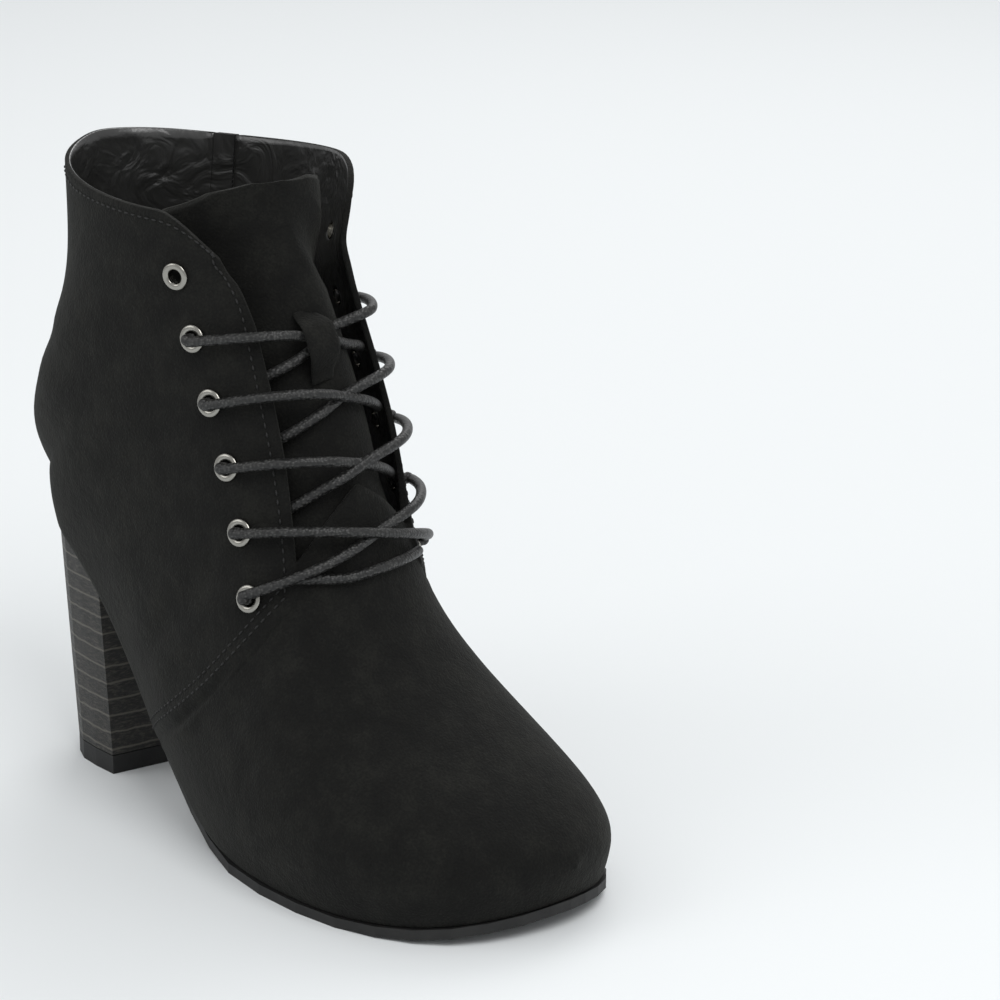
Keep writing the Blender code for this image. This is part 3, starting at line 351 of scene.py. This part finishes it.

# %% [markdown]
# The outer flap has a rounded upper corner in the photograph, and the inner flap a slightly rounded one.
# Near the corner a point has two distances, one to each edge, which make a square; pressing the square into
# a quarter disc rounds the corner and carries the wall, its rim and its stitches along. The corner's place
# is first given and then moved to the mesh's own outermost point nearby.

# %% Round the flaps' corners
CORNERS = {
    # about where the corner is, forward along the collar, up along the flap's edge, radius
    "lateral": ((-0.001, -0.018, 0.2035), (0.876, 0.478, -0.08), (-0.155, 0.050, 0.985), 0.027),
    "medial": ((0.001, 0.027, 0.2115), (0.83, -0.55, -0.09), (0.0, 0.10, 0.995), 0.010),
}
CORNER_SEARCH = 0.008
PRESS_REACH = 1.3
TINY = 1e-9


def rounded(points, side):
    """The points with the corner pressed round; points far from the corner stay."""
    corner, forward, up, radius = CORNERS[side]
    corner, forward, up = (np.array(part) for part in (corner, forward, up))
    forward, up = forward / np.linalg.norm(forward), up / np.linalg.norm(up)
    lean = forward @ up
    back = (corner - points) @ np.stack([forward, up], 1)
    share = (back - lean * back[:, ::-1]) / (1 - lean ** 2)
    inner = 1 - share / radius
    near = (inner > 0).all(1) & (inner < PRESS_REACH).all(1) & (points[:, 1] * corner[1] > 0)
    reach = np.linalg.norm(inner, axis=1)
    far, low = inner.max(1), inner.min(1)
    held = np.where(far > 1, 1 + (far - 1) * (1 - low / np.maximum(far, TINY)) ** 2, far)
    scale = np.where(near, held / np.maximum(reach, TINY), 1.0)
    move = inner * (scale - 1)[:, None] * radius
    return points + move[:, :1] * forward + move[:, 1:] * up


for side, (corner, forward, up, radius) in CORNERS.items():
    places = mesh_arrays(upper)[0]
    near = np.linalg.norm(places - np.array(corner), axis=1) < CORNER_SEARCH
    reach = (places - np.array(corner)) @ (np.array(forward) + np.array(up))
    tip = places[np.where(near, reach, -1.0).argmax()]
    CORNERS[side] = (tuple(tip), forward, up, radius)
    print(side, "corner, mm:", [round(float(c) * 1000, 1) for c in tip])
    move_points(upper, rounded(places, side))
print("corners rounded:", len(CORNERS))

# %% [markdown]
# The inside of the quarters shows at the collar and has the lining's gloss. The shaft stands round an
# upright line, so a face belongs to the lining where it looks towards that line.

# %% Give the inside its lining
SHAFT_MIDDLE = Vector((-0.045, 0.004))
LINED_FROM = 0.085
FACING_INWARD = 0.3


def line_inside(piece):
    """Give the piece's second finish to the faces that look into the shaft, and count them."""
    count = 0
    for polygon in piece.data.polygons:
        inward = SHAFT_MIDDLE - polygon.center.xy
        facing = polygon.normal.xy.dot(inward.normalized())
        if polygon.center.z > LINED_FROM and facing > FACING_INWARD:
            polygon.material_index = 1
            count += 1
    return count


print("lining faces:", line_inside(upper))

# %% [markdown]
# Worn suede folds where the foot bends. The folds are placed as soft troughs with a low ridge on
# each side: over the vamp behind the toe, below the lacing on the outer quarter, and behind the ankle. The
# step where the quarter lies on the vamp is pressed in the same way, as a narrow groove on each side.

# %% Folds in the upper
FOLDS = [
    # depth and width in metres, then the line that the fold runs along
    (0.0008, 0.0040, [(0.030, -0.050, 0.035), (0.044, -0.030, 0.062), (0.050, -0.004, 0.068),
                      (0.044, 0.024, 0.060)]),
    (0.0006, 0.0035, [(0.016, -0.050, 0.045), (0.034, -0.030, 0.078), (0.042, -0.004, 0.086)]),
    (0.0009, 0.0050, [(-0.030, -0.040, 0.060), (-0.012, -0.042, 0.080), (0.006, -0.038, 0.098)]),
    (0.0007, 0.0045, [(-0.062, -0.040, 0.118), (-0.040, -0.040, 0.122), (-0.020, -0.036, 0.132)]),
    (0.0009, 0.0050, [(-0.100, -0.020, 0.150), (-0.080, -0.034, 0.145), (-0.058, -0.036, 0.150)]),
    (0.0008, 0.0045, [(-0.062, 0.040, 0.120), (-0.036, 0.042, 0.126), (-0.016, 0.038, 0.136)]),
    (0.0008, 0.0045, [(-0.100, 0.018, 0.150), (-0.080, 0.036, 0.146)]),
    # the step where the quarter lies on the vamp, on the outer and the inner side
    (0.0012, 0.0016, [(-0.035, -0.030, 0.025), (-0.023, -0.038, 0.034), (-0.009, -0.043, 0.042),
                      (0.010, -0.043, 0.059), (0.025, -0.037, 0.077), (0.034, -0.027, 0.093)]),
    (0.0012, 0.0016, [(-0.035, 0.029, 0.034), (-0.023, 0.037, 0.042), (-0.009, 0.042, 0.049),
                      (0.010, 0.041, 0.063), (0.025, 0.035, 0.079), (0.034, 0.024, 0.094)]),
]
RIDGE_SHARE = 0.45
RIDGE_WIDTHS_AWAY = 2.0
FADE_POWER = 0.7


def distance_to_line(points, line):
    """Distance of each point from a broken line, and how far along it the nearest place is, from 0 to 1."""
    knots = np.array(line)
    nearest = np.full(len(points), np.inf)
    along = np.zeros(len(points))
    for k, (start, end) in enumerate(zip(knots, knots[1:])):
        run = end - start
        share = np.clip(((points - start) @ run) / (run @ run), 0, 1)
        away = np.linalg.norm(points - start - share[:, None] * run, axis=1)
        closer = away < nearest
        nearest[closer] = away[closer]
        along[closer] = (k + share[closer]) / (len(knots) - 1)
    return nearest, along


def press_folds(piece, folds, outer_only=True):
    """Press the folds into the piece, without its lining where outer_only says so; returns the deepest."""
    places, normals = mesh_arrays(piece)
    keep = np.ones(len(places))
    if outer_only:
        for polygon in piece.data.polygons:
            if polygon.material_index == 1:
                keep[list(polygon.vertices)] = 0
    shift = np.zeros(len(places))
    for depth, width, line in folds:
        away, along = distance_to_line(places, line)
        fade = np.sin(math.pi * np.clip(along * 0.9 + 0.05, 0, 1)) ** FADE_POWER
        trough = np.exp(-(away / width) ** 2)
        ridges = np.exp(-((away - RIDGE_WIDTHS_AWAY * width) / width) ** 2)
        shift += fade * depth * (RIDGE_SHARE * ridges - trough)
    move_points(piece, places + normals * (shift * keep)[:, None])
    return float(np.abs(shift).max())


print("deepest fold, mm:", round(press_folds(upper, FOLDS) * 1000, 2))

# %% [markdown]
# The tongue, its small keeper and the sock inside are rounded in the same way.

# %% Tongue, keeper and sock
tongue = refined(["tongue"], "tongue_suede", 2, 0.6, [suede])
keeper = refined(["lace_keeper"], "keeper_suede", 2, 0.8, [suede])
sock = refined(["insole"], "sock_lining", 1, 0.8, [lining])
print("tongue faces:", len(tongue.data.polygons))

# %% [markdown]
# The real tongue stands close behind the inner flap, and its top edge is straight and rises to the inner
# side. Two short tables say how far its inner part comes forward at each level, and how far its top edge is
# lifted at each place across the boot. Two soft folds finish it.

# %% Shape the tongue
# level, and how far the tongue comes forward there
TONGUE_FORWARD = [(0.118, 0), (0.141, 0.005), (0.160, 0.009), (0.178, 0.016), (0.205, 0.013), (0.218, 0.009)]
# place across the boot, and how far the top edge is lifted there
TONGUE_LIFT = [(-0.0185, 0.002), (-0.012, 0.0085), (-0.005, 0.0093), (0.002, 0.008), (0.012, 0.002),
               (0.022, -0.0075)]
INNER_FROM, INNER_RUN = -0.004, 0.024
LIFT_FROM, LIFT_RUN = 0.165, 0.035
TONGUE_FOLDS = [
    (0.0008, 0.0040, [(0.004, -0.030, 0.170), (0.010, -0.012, 0.166), (0.012, 0.006, 0.170)]),
    (0.0007, 0.0035, [(0.018, -0.028, 0.134), (0.024, -0.010, 0.132), (0.024, 0.010, 0.136)]),
]

places = mesh_arrays(tongue)[0]
level, across = places[:, 2], places[:, 1]
forward = np.interp(level, *zip(*TONGUE_FORWARD)) * np.clip((across - INNER_FROM) / INNER_RUN, 0, 1)
high = np.clip((level - LIFT_FROM) / LIFT_RUN, 0, 1)
lift = np.interp(across, *zip(*TONGUE_LIFT)) * (high ** 2 * (3 - 2 * high))
move_points(tongue, places + np.stack([forward, np.zeros(len(places)), lift], 1))
press_folds(tongue, TONGUE_FOLDS, outer_only=False)
print("tongue comes forward by up to", round(forward.max() * 1000, 1), "mm")

# %% [markdown]
# An eyelet is a rolled ring with a barrel that goes through the leather. One is modelled at the origin, a
# torus pressed flat and a short tube, and a copy is set on each of the frame's eyelets. The axis of a ring
# is the direction in which its points spread least.

# %% Eyelets
RING_RADIUS = 0.0034
RING_ROLL = 0.0011
RING_FLATNESS = 0.6
RING_SUNK = 0.0005
BARREL_RADIUS = 0.0026
BARREL_LENGTH = 0.0030
BARREL_MIDDLE = -0.0013


def as_mesh(piece):
    """Points and faces of an object that is then removed."""
    points = [tuple(v.co) for v in piece.data.vertices]
    faces = [tuple(p.vertices) for p in piece.data.polygons]
    bpy.data.objects.remove(piece, do_unlink=True)
    return points, faces


def stretched(piece, size):
    """Stretch the new primitive in edit mode."""
    bpy.ops.object.mode_set(mode="EDIT")
    bpy.ops.mesh.select_all(action="SELECT")
    bpy.ops.transform.resize(value=size)
    bpy.ops.object.mode_set(mode="OBJECT")
    return piece


def joined(piece, other):
    """One object of a piece and the new primitive, whose place goes into its mesh first."""
    bpy.ops.object.transform_apply(location=True)
    other.select_set(True)
    piece.select_set(True)
    bpy.context.view_layer.objects.active = piece
    bpy.ops.object.join()
    return piece


def ring_template():
    """A rolled ring with its barrel below it."""
    bpy.ops.object.select_all(action="DESELECT")
    bpy.ops.mesh.primitive_torus_add(major_segments=36, minor_segments=12, major_radius=RING_RADIUS,
                                     minor_radius=RING_ROLL)
    ring = stretched(bpy.context.object, (1.0, 1.0, RING_FLATNESS))
    bpy.ops.object.select_all(action="DESELECT")
    bpy.ops.mesh.primitive_cylinder_add(vertices=36, radius=BARREL_RADIUS, depth=BARREL_LENGTH,
                                        end_fill_type="NOTHING", location=(0, 0, BARREL_MIDDLE))
    return as_mesh(joined(ring, bpy.context.object))


def repeated(template, places, title, finish):
    """One object with a copy of a small mesh at each place."""
    points, faces = template
    all_points = []
    all_faces = []
    for matrix in places:
        start = len(all_points)
        all_points += [matrix @ Vector(p) for p in points]
        all_faces += [tuple(start + k for k in face) for face in faces]
    mesh = bpy.data.meshes.new(title)
    mesh.from_pydata(all_points, [], all_faces)
    mesh.materials.append(finish)
    mesh.shade_smooth()
    piece = bpy.data.objects.new(title, mesh)
    bpy.context.scene.collection.objects.link(piece)
    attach(piece, BOOT)
    return piece


def ring_place(name):
    """Outer middle of an eyelet, moved with its flap's corner, and its axis out of the boot."""
    points = np.array([v.co for v in nodes[name].data.vertices])
    points = np.unique(points.round(6), axis=0)
    middle = points.mean(0)
    axis = np.linalg.svd(points - middle)[2][-1]
    side, outward = ("lateral", -1.0) if "lateral" in name else ("medial", 1.0)
    if axis[1] * outward < 0:
        axis = -axis
    top = middle + axis * ((points - middle) @ axis).max()
    return Vector(rounded(top[None], side)[0]), Vector(axis)


def standing(place, axis):
    """Matrix that stands a small piece at a place, its own Z along the axis."""
    return Matrix.Translation(place) @ axis.to_track_quat("Z", "Y").to_matrix().to_4x4()


EYELET_ROWS = {side: [f"eyelet_{side}_{k}" for k in range(1, 7)] for side in ("lateral", "medial")}
template = ring_template()
for side, names in EYELET_ROWS.items():
    ring_places = [standing(top - axis * RING_SUNK, axis) for top, axis in map(ring_place, names)]
    rings = repeated(template, ring_places, f"eyelet_rings_{side}", nickel)
    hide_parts(*names)
print("eyelets set:", sum(map(len, EYELET_ROWS.values())))

# %% [markdown]
# The lace's strands come from the frame and are rounded, and their cut ends stay sharp. The real cord is a
# little thicker than the frame's, so the strands swell by half a millimetre all round, into the soft suede
# under them. The bar comes out from under the outer flap, so its end is drawn back to the flap's edge.

# %% Lace strands
LACE_SWELL = 0.0005
CUT_END = 75
BAR_TUCK = np.array((-0.0040, -0.0022, 0.0014))
TUCK_FROM, TUCK_RUN, TUCK_MOST, TUCK_POWER = -0.012, 0.010, 1.2, 1.5
crossings = [f"lace_cross_{k}" for k in range(1, 5)]
strands = refined(crossings, "lace_strands", 2, 1.0, [cord], CUT_END)
bar = refined(["lace_bar"], "lace_bar_cord", 2, 1.0, [cord], CUT_END)
for piece in (strands, bar):
    places, normals = mesh_arrays(piece)
    move_points(piece, places + normals * LACE_SWELL)
places = mesh_arrays(bar)[0]
share = np.clip((TUCK_FROM - places[:, 1]) / TUCK_RUN, 0, TUCK_MOST) ** TUCK_POWER
move_points(bar, places + share[:, None] * BAR_TUCK)
print("strand points:", len(strands.data.vertices))

# %% [markdown]
# Where a strand reaches its eyelet it turns down through the hole. A ball with a short tube under it, made
# of the same cord, closes each of these turns. The top pair of eyelets is empty, as in the photograph.

# %% Turns of the cord at the eyelets
LACE_RADIUS = 0.0019
TUBE_RADIUS = LACE_RADIUS * 0.96
TUBE_LENGTH = 0.0055
TURN_RISE = LACE_RADIUS + 0.0004


def turn_template():
    """A cord's end bent down into the hole."""
    bpy.ops.object.select_all(action="DESELECT")
    bpy.ops.mesh.primitive_uv_sphere_add(segments=16, ring_count=10, radius=LACE_RADIUS)
    ball = bpy.context.object
    bpy.ops.object.select_all(action="DESELECT")
    bpy.ops.mesh.primitive_cylinder_add(vertices=16, radius=TUBE_RADIUS, depth=TUBE_LENGTH,
                                        location=(0, 0, -TUBE_LENGTH / 2))
    return as_mesh(joined(ball, bpy.context.object))


turn_places = []
for names in EYELET_ROWS.values():
    turn_places += [standing(top + axis * TURN_RISE, axis) for top, axis in map(ring_place, names[1:])]
plugs = repeated(turn_template(), turn_places, "lace_plugs", cord)
print("cord turns:", len(turn_places))

# %% [markdown]
# Stitches are small, but a step away they draw the panels. One stitch is a stretched ball, and rows of
# copies follow the flap's front edge, the collar and the seam between quarter and vamp. A row is a line
# through a few given points, and a ray from outside finds the suede at each stitch.

# %% How stitches are laid
STITCH_PITCH = 0.0030
STITCH_SIZE = (0.00105, 0.00034, 0.00030)
STITCH_RISE = 0.00012
SMOOTHING_ROUNDS = 12
SEARCH_FROM = 0.02
LONGEST_STEP = 4 * STITCH_PITCH
SHORTEST_STEP = 1e-6
suede_surface = surface_of(upper)


def ball_template(segments, ring_count, size):
    """A small ball stretched to the given half sizes."""
    bpy.ops.object.select_all(action="DESELECT")
    bpy.ops.mesh.primitive_uv_sphere_add(segments=segments, ring_count=ring_count, radius=1.0)
    return as_mesh(stretched(bpy.context.object, size))


def lying(place, along, across, normal):
    """Matrix that lays a small piece at a place, its own X, Y and Z along the three directions."""
    matrix = Matrix((along, across, normal)).transposed().to_4x4()
    matrix.translation = place
    return matrix


def even_points(line, pitch):
    """Points at an even pitch along a smooth line through given points."""
    knots = np.array(line, float)
    run = np.r_[0, np.cumsum(np.linalg.norm(np.diff(knots, axis=0), axis=1))]
    count = max(int(run[-1] / pitch), 2)
    fine = np.linspace(0, run[-1], count + 1)
    flat = np.stack([np.interp(fine, run, knots[:, c]) for c in range(3)], 1)
    for _ in range(SMOOTHING_ROUNDS):
        flat[1:-1] = (flat[:-2] + 2 * flat[1:-1] + flat[2:]) / 4
    return flat


def stitch_places(line, outward):
    """Places for stitches on the upper's outer face; outward is a direction that faces away from the boot."""
    along = even_points(line, STITCH_PITCH)
    for side in CORNERS:
        along = rounded(along, side)
    outward = Vector(outward)
    hits = []
    for point in map(Vector, along):
        hit, normal, _, _ = suede_surface.ray_cast(point + outward * SEARCH_FROM, -outward, 2 * SEARCH_FROM)
        if hit is not None:
            hits.append((hit, normal))
    places = []
    for k, (hit, normal) in enumerate(hits):
        ahead = hits[min(k + 1, len(hits) - 1)][0] - hits[max(k - 1, 0)][0]
        if SHORTEST_STEP < ahead.length < LONGEST_STEP:
            ahead = (ahead - normal * ahead.dot(normal)).normalized()
            places.append(lying(hit + normal * STITCH_RISE, ahead, normal.cross(ahead), normal))
    return places


print("stitch length, mm:", STITCH_SIZE[0] * 2000)

# %% [markdown]
# The rows are listed for the outer side and for the inner side. The seam between quarter and vamp is sewn
# twice, and its second row runs a little behind and above the first.

# %% Stitch rows
LATERAL_OUT = (0.25, -0.95, 0.15)
MEDIAL_OUT = (0.25, 0.95, 0.15)
COLLAR_OUT = (0.2, -0.95, 0.0)
SECOND_ROW_BACK, SECOND_ROW_UP = 0.0022, 0.0018
FLAP_LATERAL = [(-0.0035, -0.0195, 0.2005), (-0.001, -0.020, 0.184), (0.008, -0.021, 0.158),
                (0.018, -0.023, 0.134), (0.026, -0.026, 0.110), (0.030, -0.029, 0.095)]
COLLAR_LATERAL = [(-0.088, -0.021, 0.2060), (-0.076, -0.028, 0.2035), (-0.050, -0.034, 0.2025),
                  (-0.023, -0.030, 0.2020), (-0.0035, -0.0195, 0.2005)]
FLAP_MEDIAL = [(-0.0065, 0.031, 0.203), (-0.004, 0.028, 0.184), (0.006, 0.028, 0.159),
               (0.016, 0.027, 0.135), (0.022, 0.028, 0.111), (0.027, 0.029, 0.097)]
SEAM_LATERAL = [(-0.037, -0.030, 0.029), (-0.025, -0.038, 0.037), (-0.011, -0.043, 0.046),
                (0.008, -0.043, 0.062), (0.022, -0.037, 0.079), (0.030, -0.029, 0.092)]
SEAM_MEDIAL = [(-0.037, 0.029, 0.038), (-0.025, 0.037, 0.045), (-0.011, 0.042, 0.053),
               (0.008, 0.041, 0.067), (0.022, 0.035, 0.082), (0.030, 0.027, 0.094)]
row_lines = [(FLAP_LATERAL, LATERAL_OUT), (COLLAR_LATERAL, COLLAR_OUT), (FLAP_MEDIAL, MEDIAL_OUT)]
for seam, outward in ((SEAM_LATERAL, LATERAL_OUT), (SEAM_MEDIAL, MEDIAL_OUT)):
    row_lines.append((seam, outward))
    row_lines.append(([(x - SECOND_ROW_BACK, y, z + SECOND_ROW_UP) for x, y, z in seam], outward))
all_stitches = [place for row in row_lines for place in stitch_places(*row)]
stitch = ball_template(segments=6, ring_count=4, size=STITCH_SIZE)
stitches = repeated(stitch, all_stitches, "stitching", thread)
print("stitches:", len(all_stitches))

# %% [markdown]
# The closed zip shows a spiral chain down the middle of its tape. One coil turn is a stretched ball set
# aslant, and the turns alternate to both sides, which gives the woven V that the light picks out. The
# frame's zip is a curved strip, so its outer middle is measured level by level and smoothed by a curve
# before turns are set on it.

# %% Zip chain
ZIP_LEVELS = 24
END_MARGIN = 0.001
LEVEL_BAND = 0.009
OUTER_SKIN = 0.0012
CURVE_DEGREE = 5
CHAIN_TOP_FREE, CHAIN_FOOT_FREE = 0.012, 0.002
CHAIN_STEPS = 90
COIL_SIZE = (0.0014, 0.00042, 0.00055)
COIL_SLANT = 0.45
COIL_ASIDE = 0.0009
COIL_RISE = 0.0002
JUST_OUTSIDE = Vector((0, 0.003, 0))


def zip_line():
    """Outer middle of the zip's strip from top to bottom."""
    points = np.array([v.co for v in nodes["zip"].data.vertices])
    low, high = points[:, 2].min(), points[:, 2].max()
    middle = []
    for level in np.linspace(low + END_MARGIN, high - END_MARGIN, ZIP_LEVELS):
        near = points[np.abs(points[:, 2] - level) < LEVEL_BAND]
        outer = near[near[:, 1] > near[:, 1].max() - OUTER_SKIN]
        middle.append((level, outer[:, 0].mean(), outer[:, 1].mean()))
    level, reach, side = np.array(middle).T
    reach = np.polyfit(level, reach, CURVE_DEGREE)
    side = np.polyfit(level, side, CURVE_DEGREE)
    heights = np.linspace(high - CHAIN_TOP_FREE, low + CHAIN_FOOT_FREE, CHAIN_STEPS)
    return [Vector((np.polyval(reach, z), np.polyval(side, z), z)) for z in heights]


coil_places = []
chain_line = zip_line()
zip_surface = surface_of(nodes["zip"])
for above, point, below in zip(chain_line, chain_line[1:], chain_line[2:]):
    hit, normal, _, _ = zip_surface.find_nearest(point + JUST_OUTSIDE)
    if normal.y < 0:
        normal = -normal
    down = (below - above).normalized()
    across = down.cross(normal).normalized()
    for sign in (-1, 1):
        slant = (across * sign + down * COIL_SLANT).normalized()
        rise = slant.cross(normal).normalized()
        place = hit + across * sign * COIL_ASIDE + normal * COIL_RISE
        coil_places.append(lying(place, slant, rise, normal))
coil = ball_template(segments=8, ring_count=5, size=COIL_SIZE)
coils = repeated(coil, coil_places, "zip_chain", chain)
print("coil turns:", len(coil_places))

# %% [markdown]
# The sole, the heel, its lift, the slider, the pull tab and the zip's tape have their shape from the frame,
# so they only get their finishes. The tape's inner faces look into the shaft and are lined.

# %% Finishes on the frame's own pieces
FINISHES = {"outsole": rubber, "top_lift": rubber, "heel": board, "zip": tape, "zip_slider": nickel,
            "zip_pull": nickel}
TAPE_INNER_SIDE = -0.3
for name, finish in FINISHES.items():
    piece = nodes[name]
    piece.data.materials.clear()
    piece.data.materials.append(finish)
nodes["zip"].data.materials.append(lining)
for polygon in nodes["zip"].data.polygons:
    polygon.material_index = int(polygon.normal.y < TAPE_INNER_SIDE)
print("frame pieces finished:", len(FINISHES))

# %% [markdown]
# A pale floor and soft light, as in a product studio: one wide light over the toe for the sheen on the nap,
# one from the heel's side to lift the dark leather off itself, one from behind for the collar's rim, and an
# even pale world.

# %% Floor, light and world
bpy.ops.object.select_all(action="DESELECT")
bpy.ops.mesh.primitive_plane_add(size=8.0, location=(0, 0, 0))
floor = bpy.context.object
floor.name = "studio_floor"
paper, _ = new_material("pale studio paper", 0.9, colour="#eaedee")
floor.data.materials.append(paper)


def soft_light(title, place, aim, size, power):
    """A square light of a size in metres and a power in watts."""
    bpy.ops.object.light_add(type="AREA", location=place)
    light = bpy.context.object
    light.name = title
    light.data.size = size
    light.data.energy = power
    light.rotation_euler = (Vector(aim) - Vector(place)).to_track_quat("-Z", "Y").to_euler()


soft_light("toe_light", (0.9, -0.2, 1.3), (0.05, 0.0, 0.08), 0.8, 9.0)
soft_light("heel_light", (-0.7, -1.2, 1.0), (-0.05, 0.0, 0.1), 0.9, 4.0)
soft_light("rear_light", (-0.6, 1.0, 1.2), (0.0, 0.0, 0.1), 0.9, 6.0)
world = bpy.data.worlds.new("studio")
bpy.context.scene.world = world
world.use_nodes = True
world.node_tree.nodes["Background"].inputs["Color"].default_value = linear("#f4f5f6")
world.node_tree.nodes["Background"].inputs["Strength"].default_value = 0.72
bpy.context.scene.view_settings.view_transform = "Standard"
print("lights:", len(bpy.data.lights))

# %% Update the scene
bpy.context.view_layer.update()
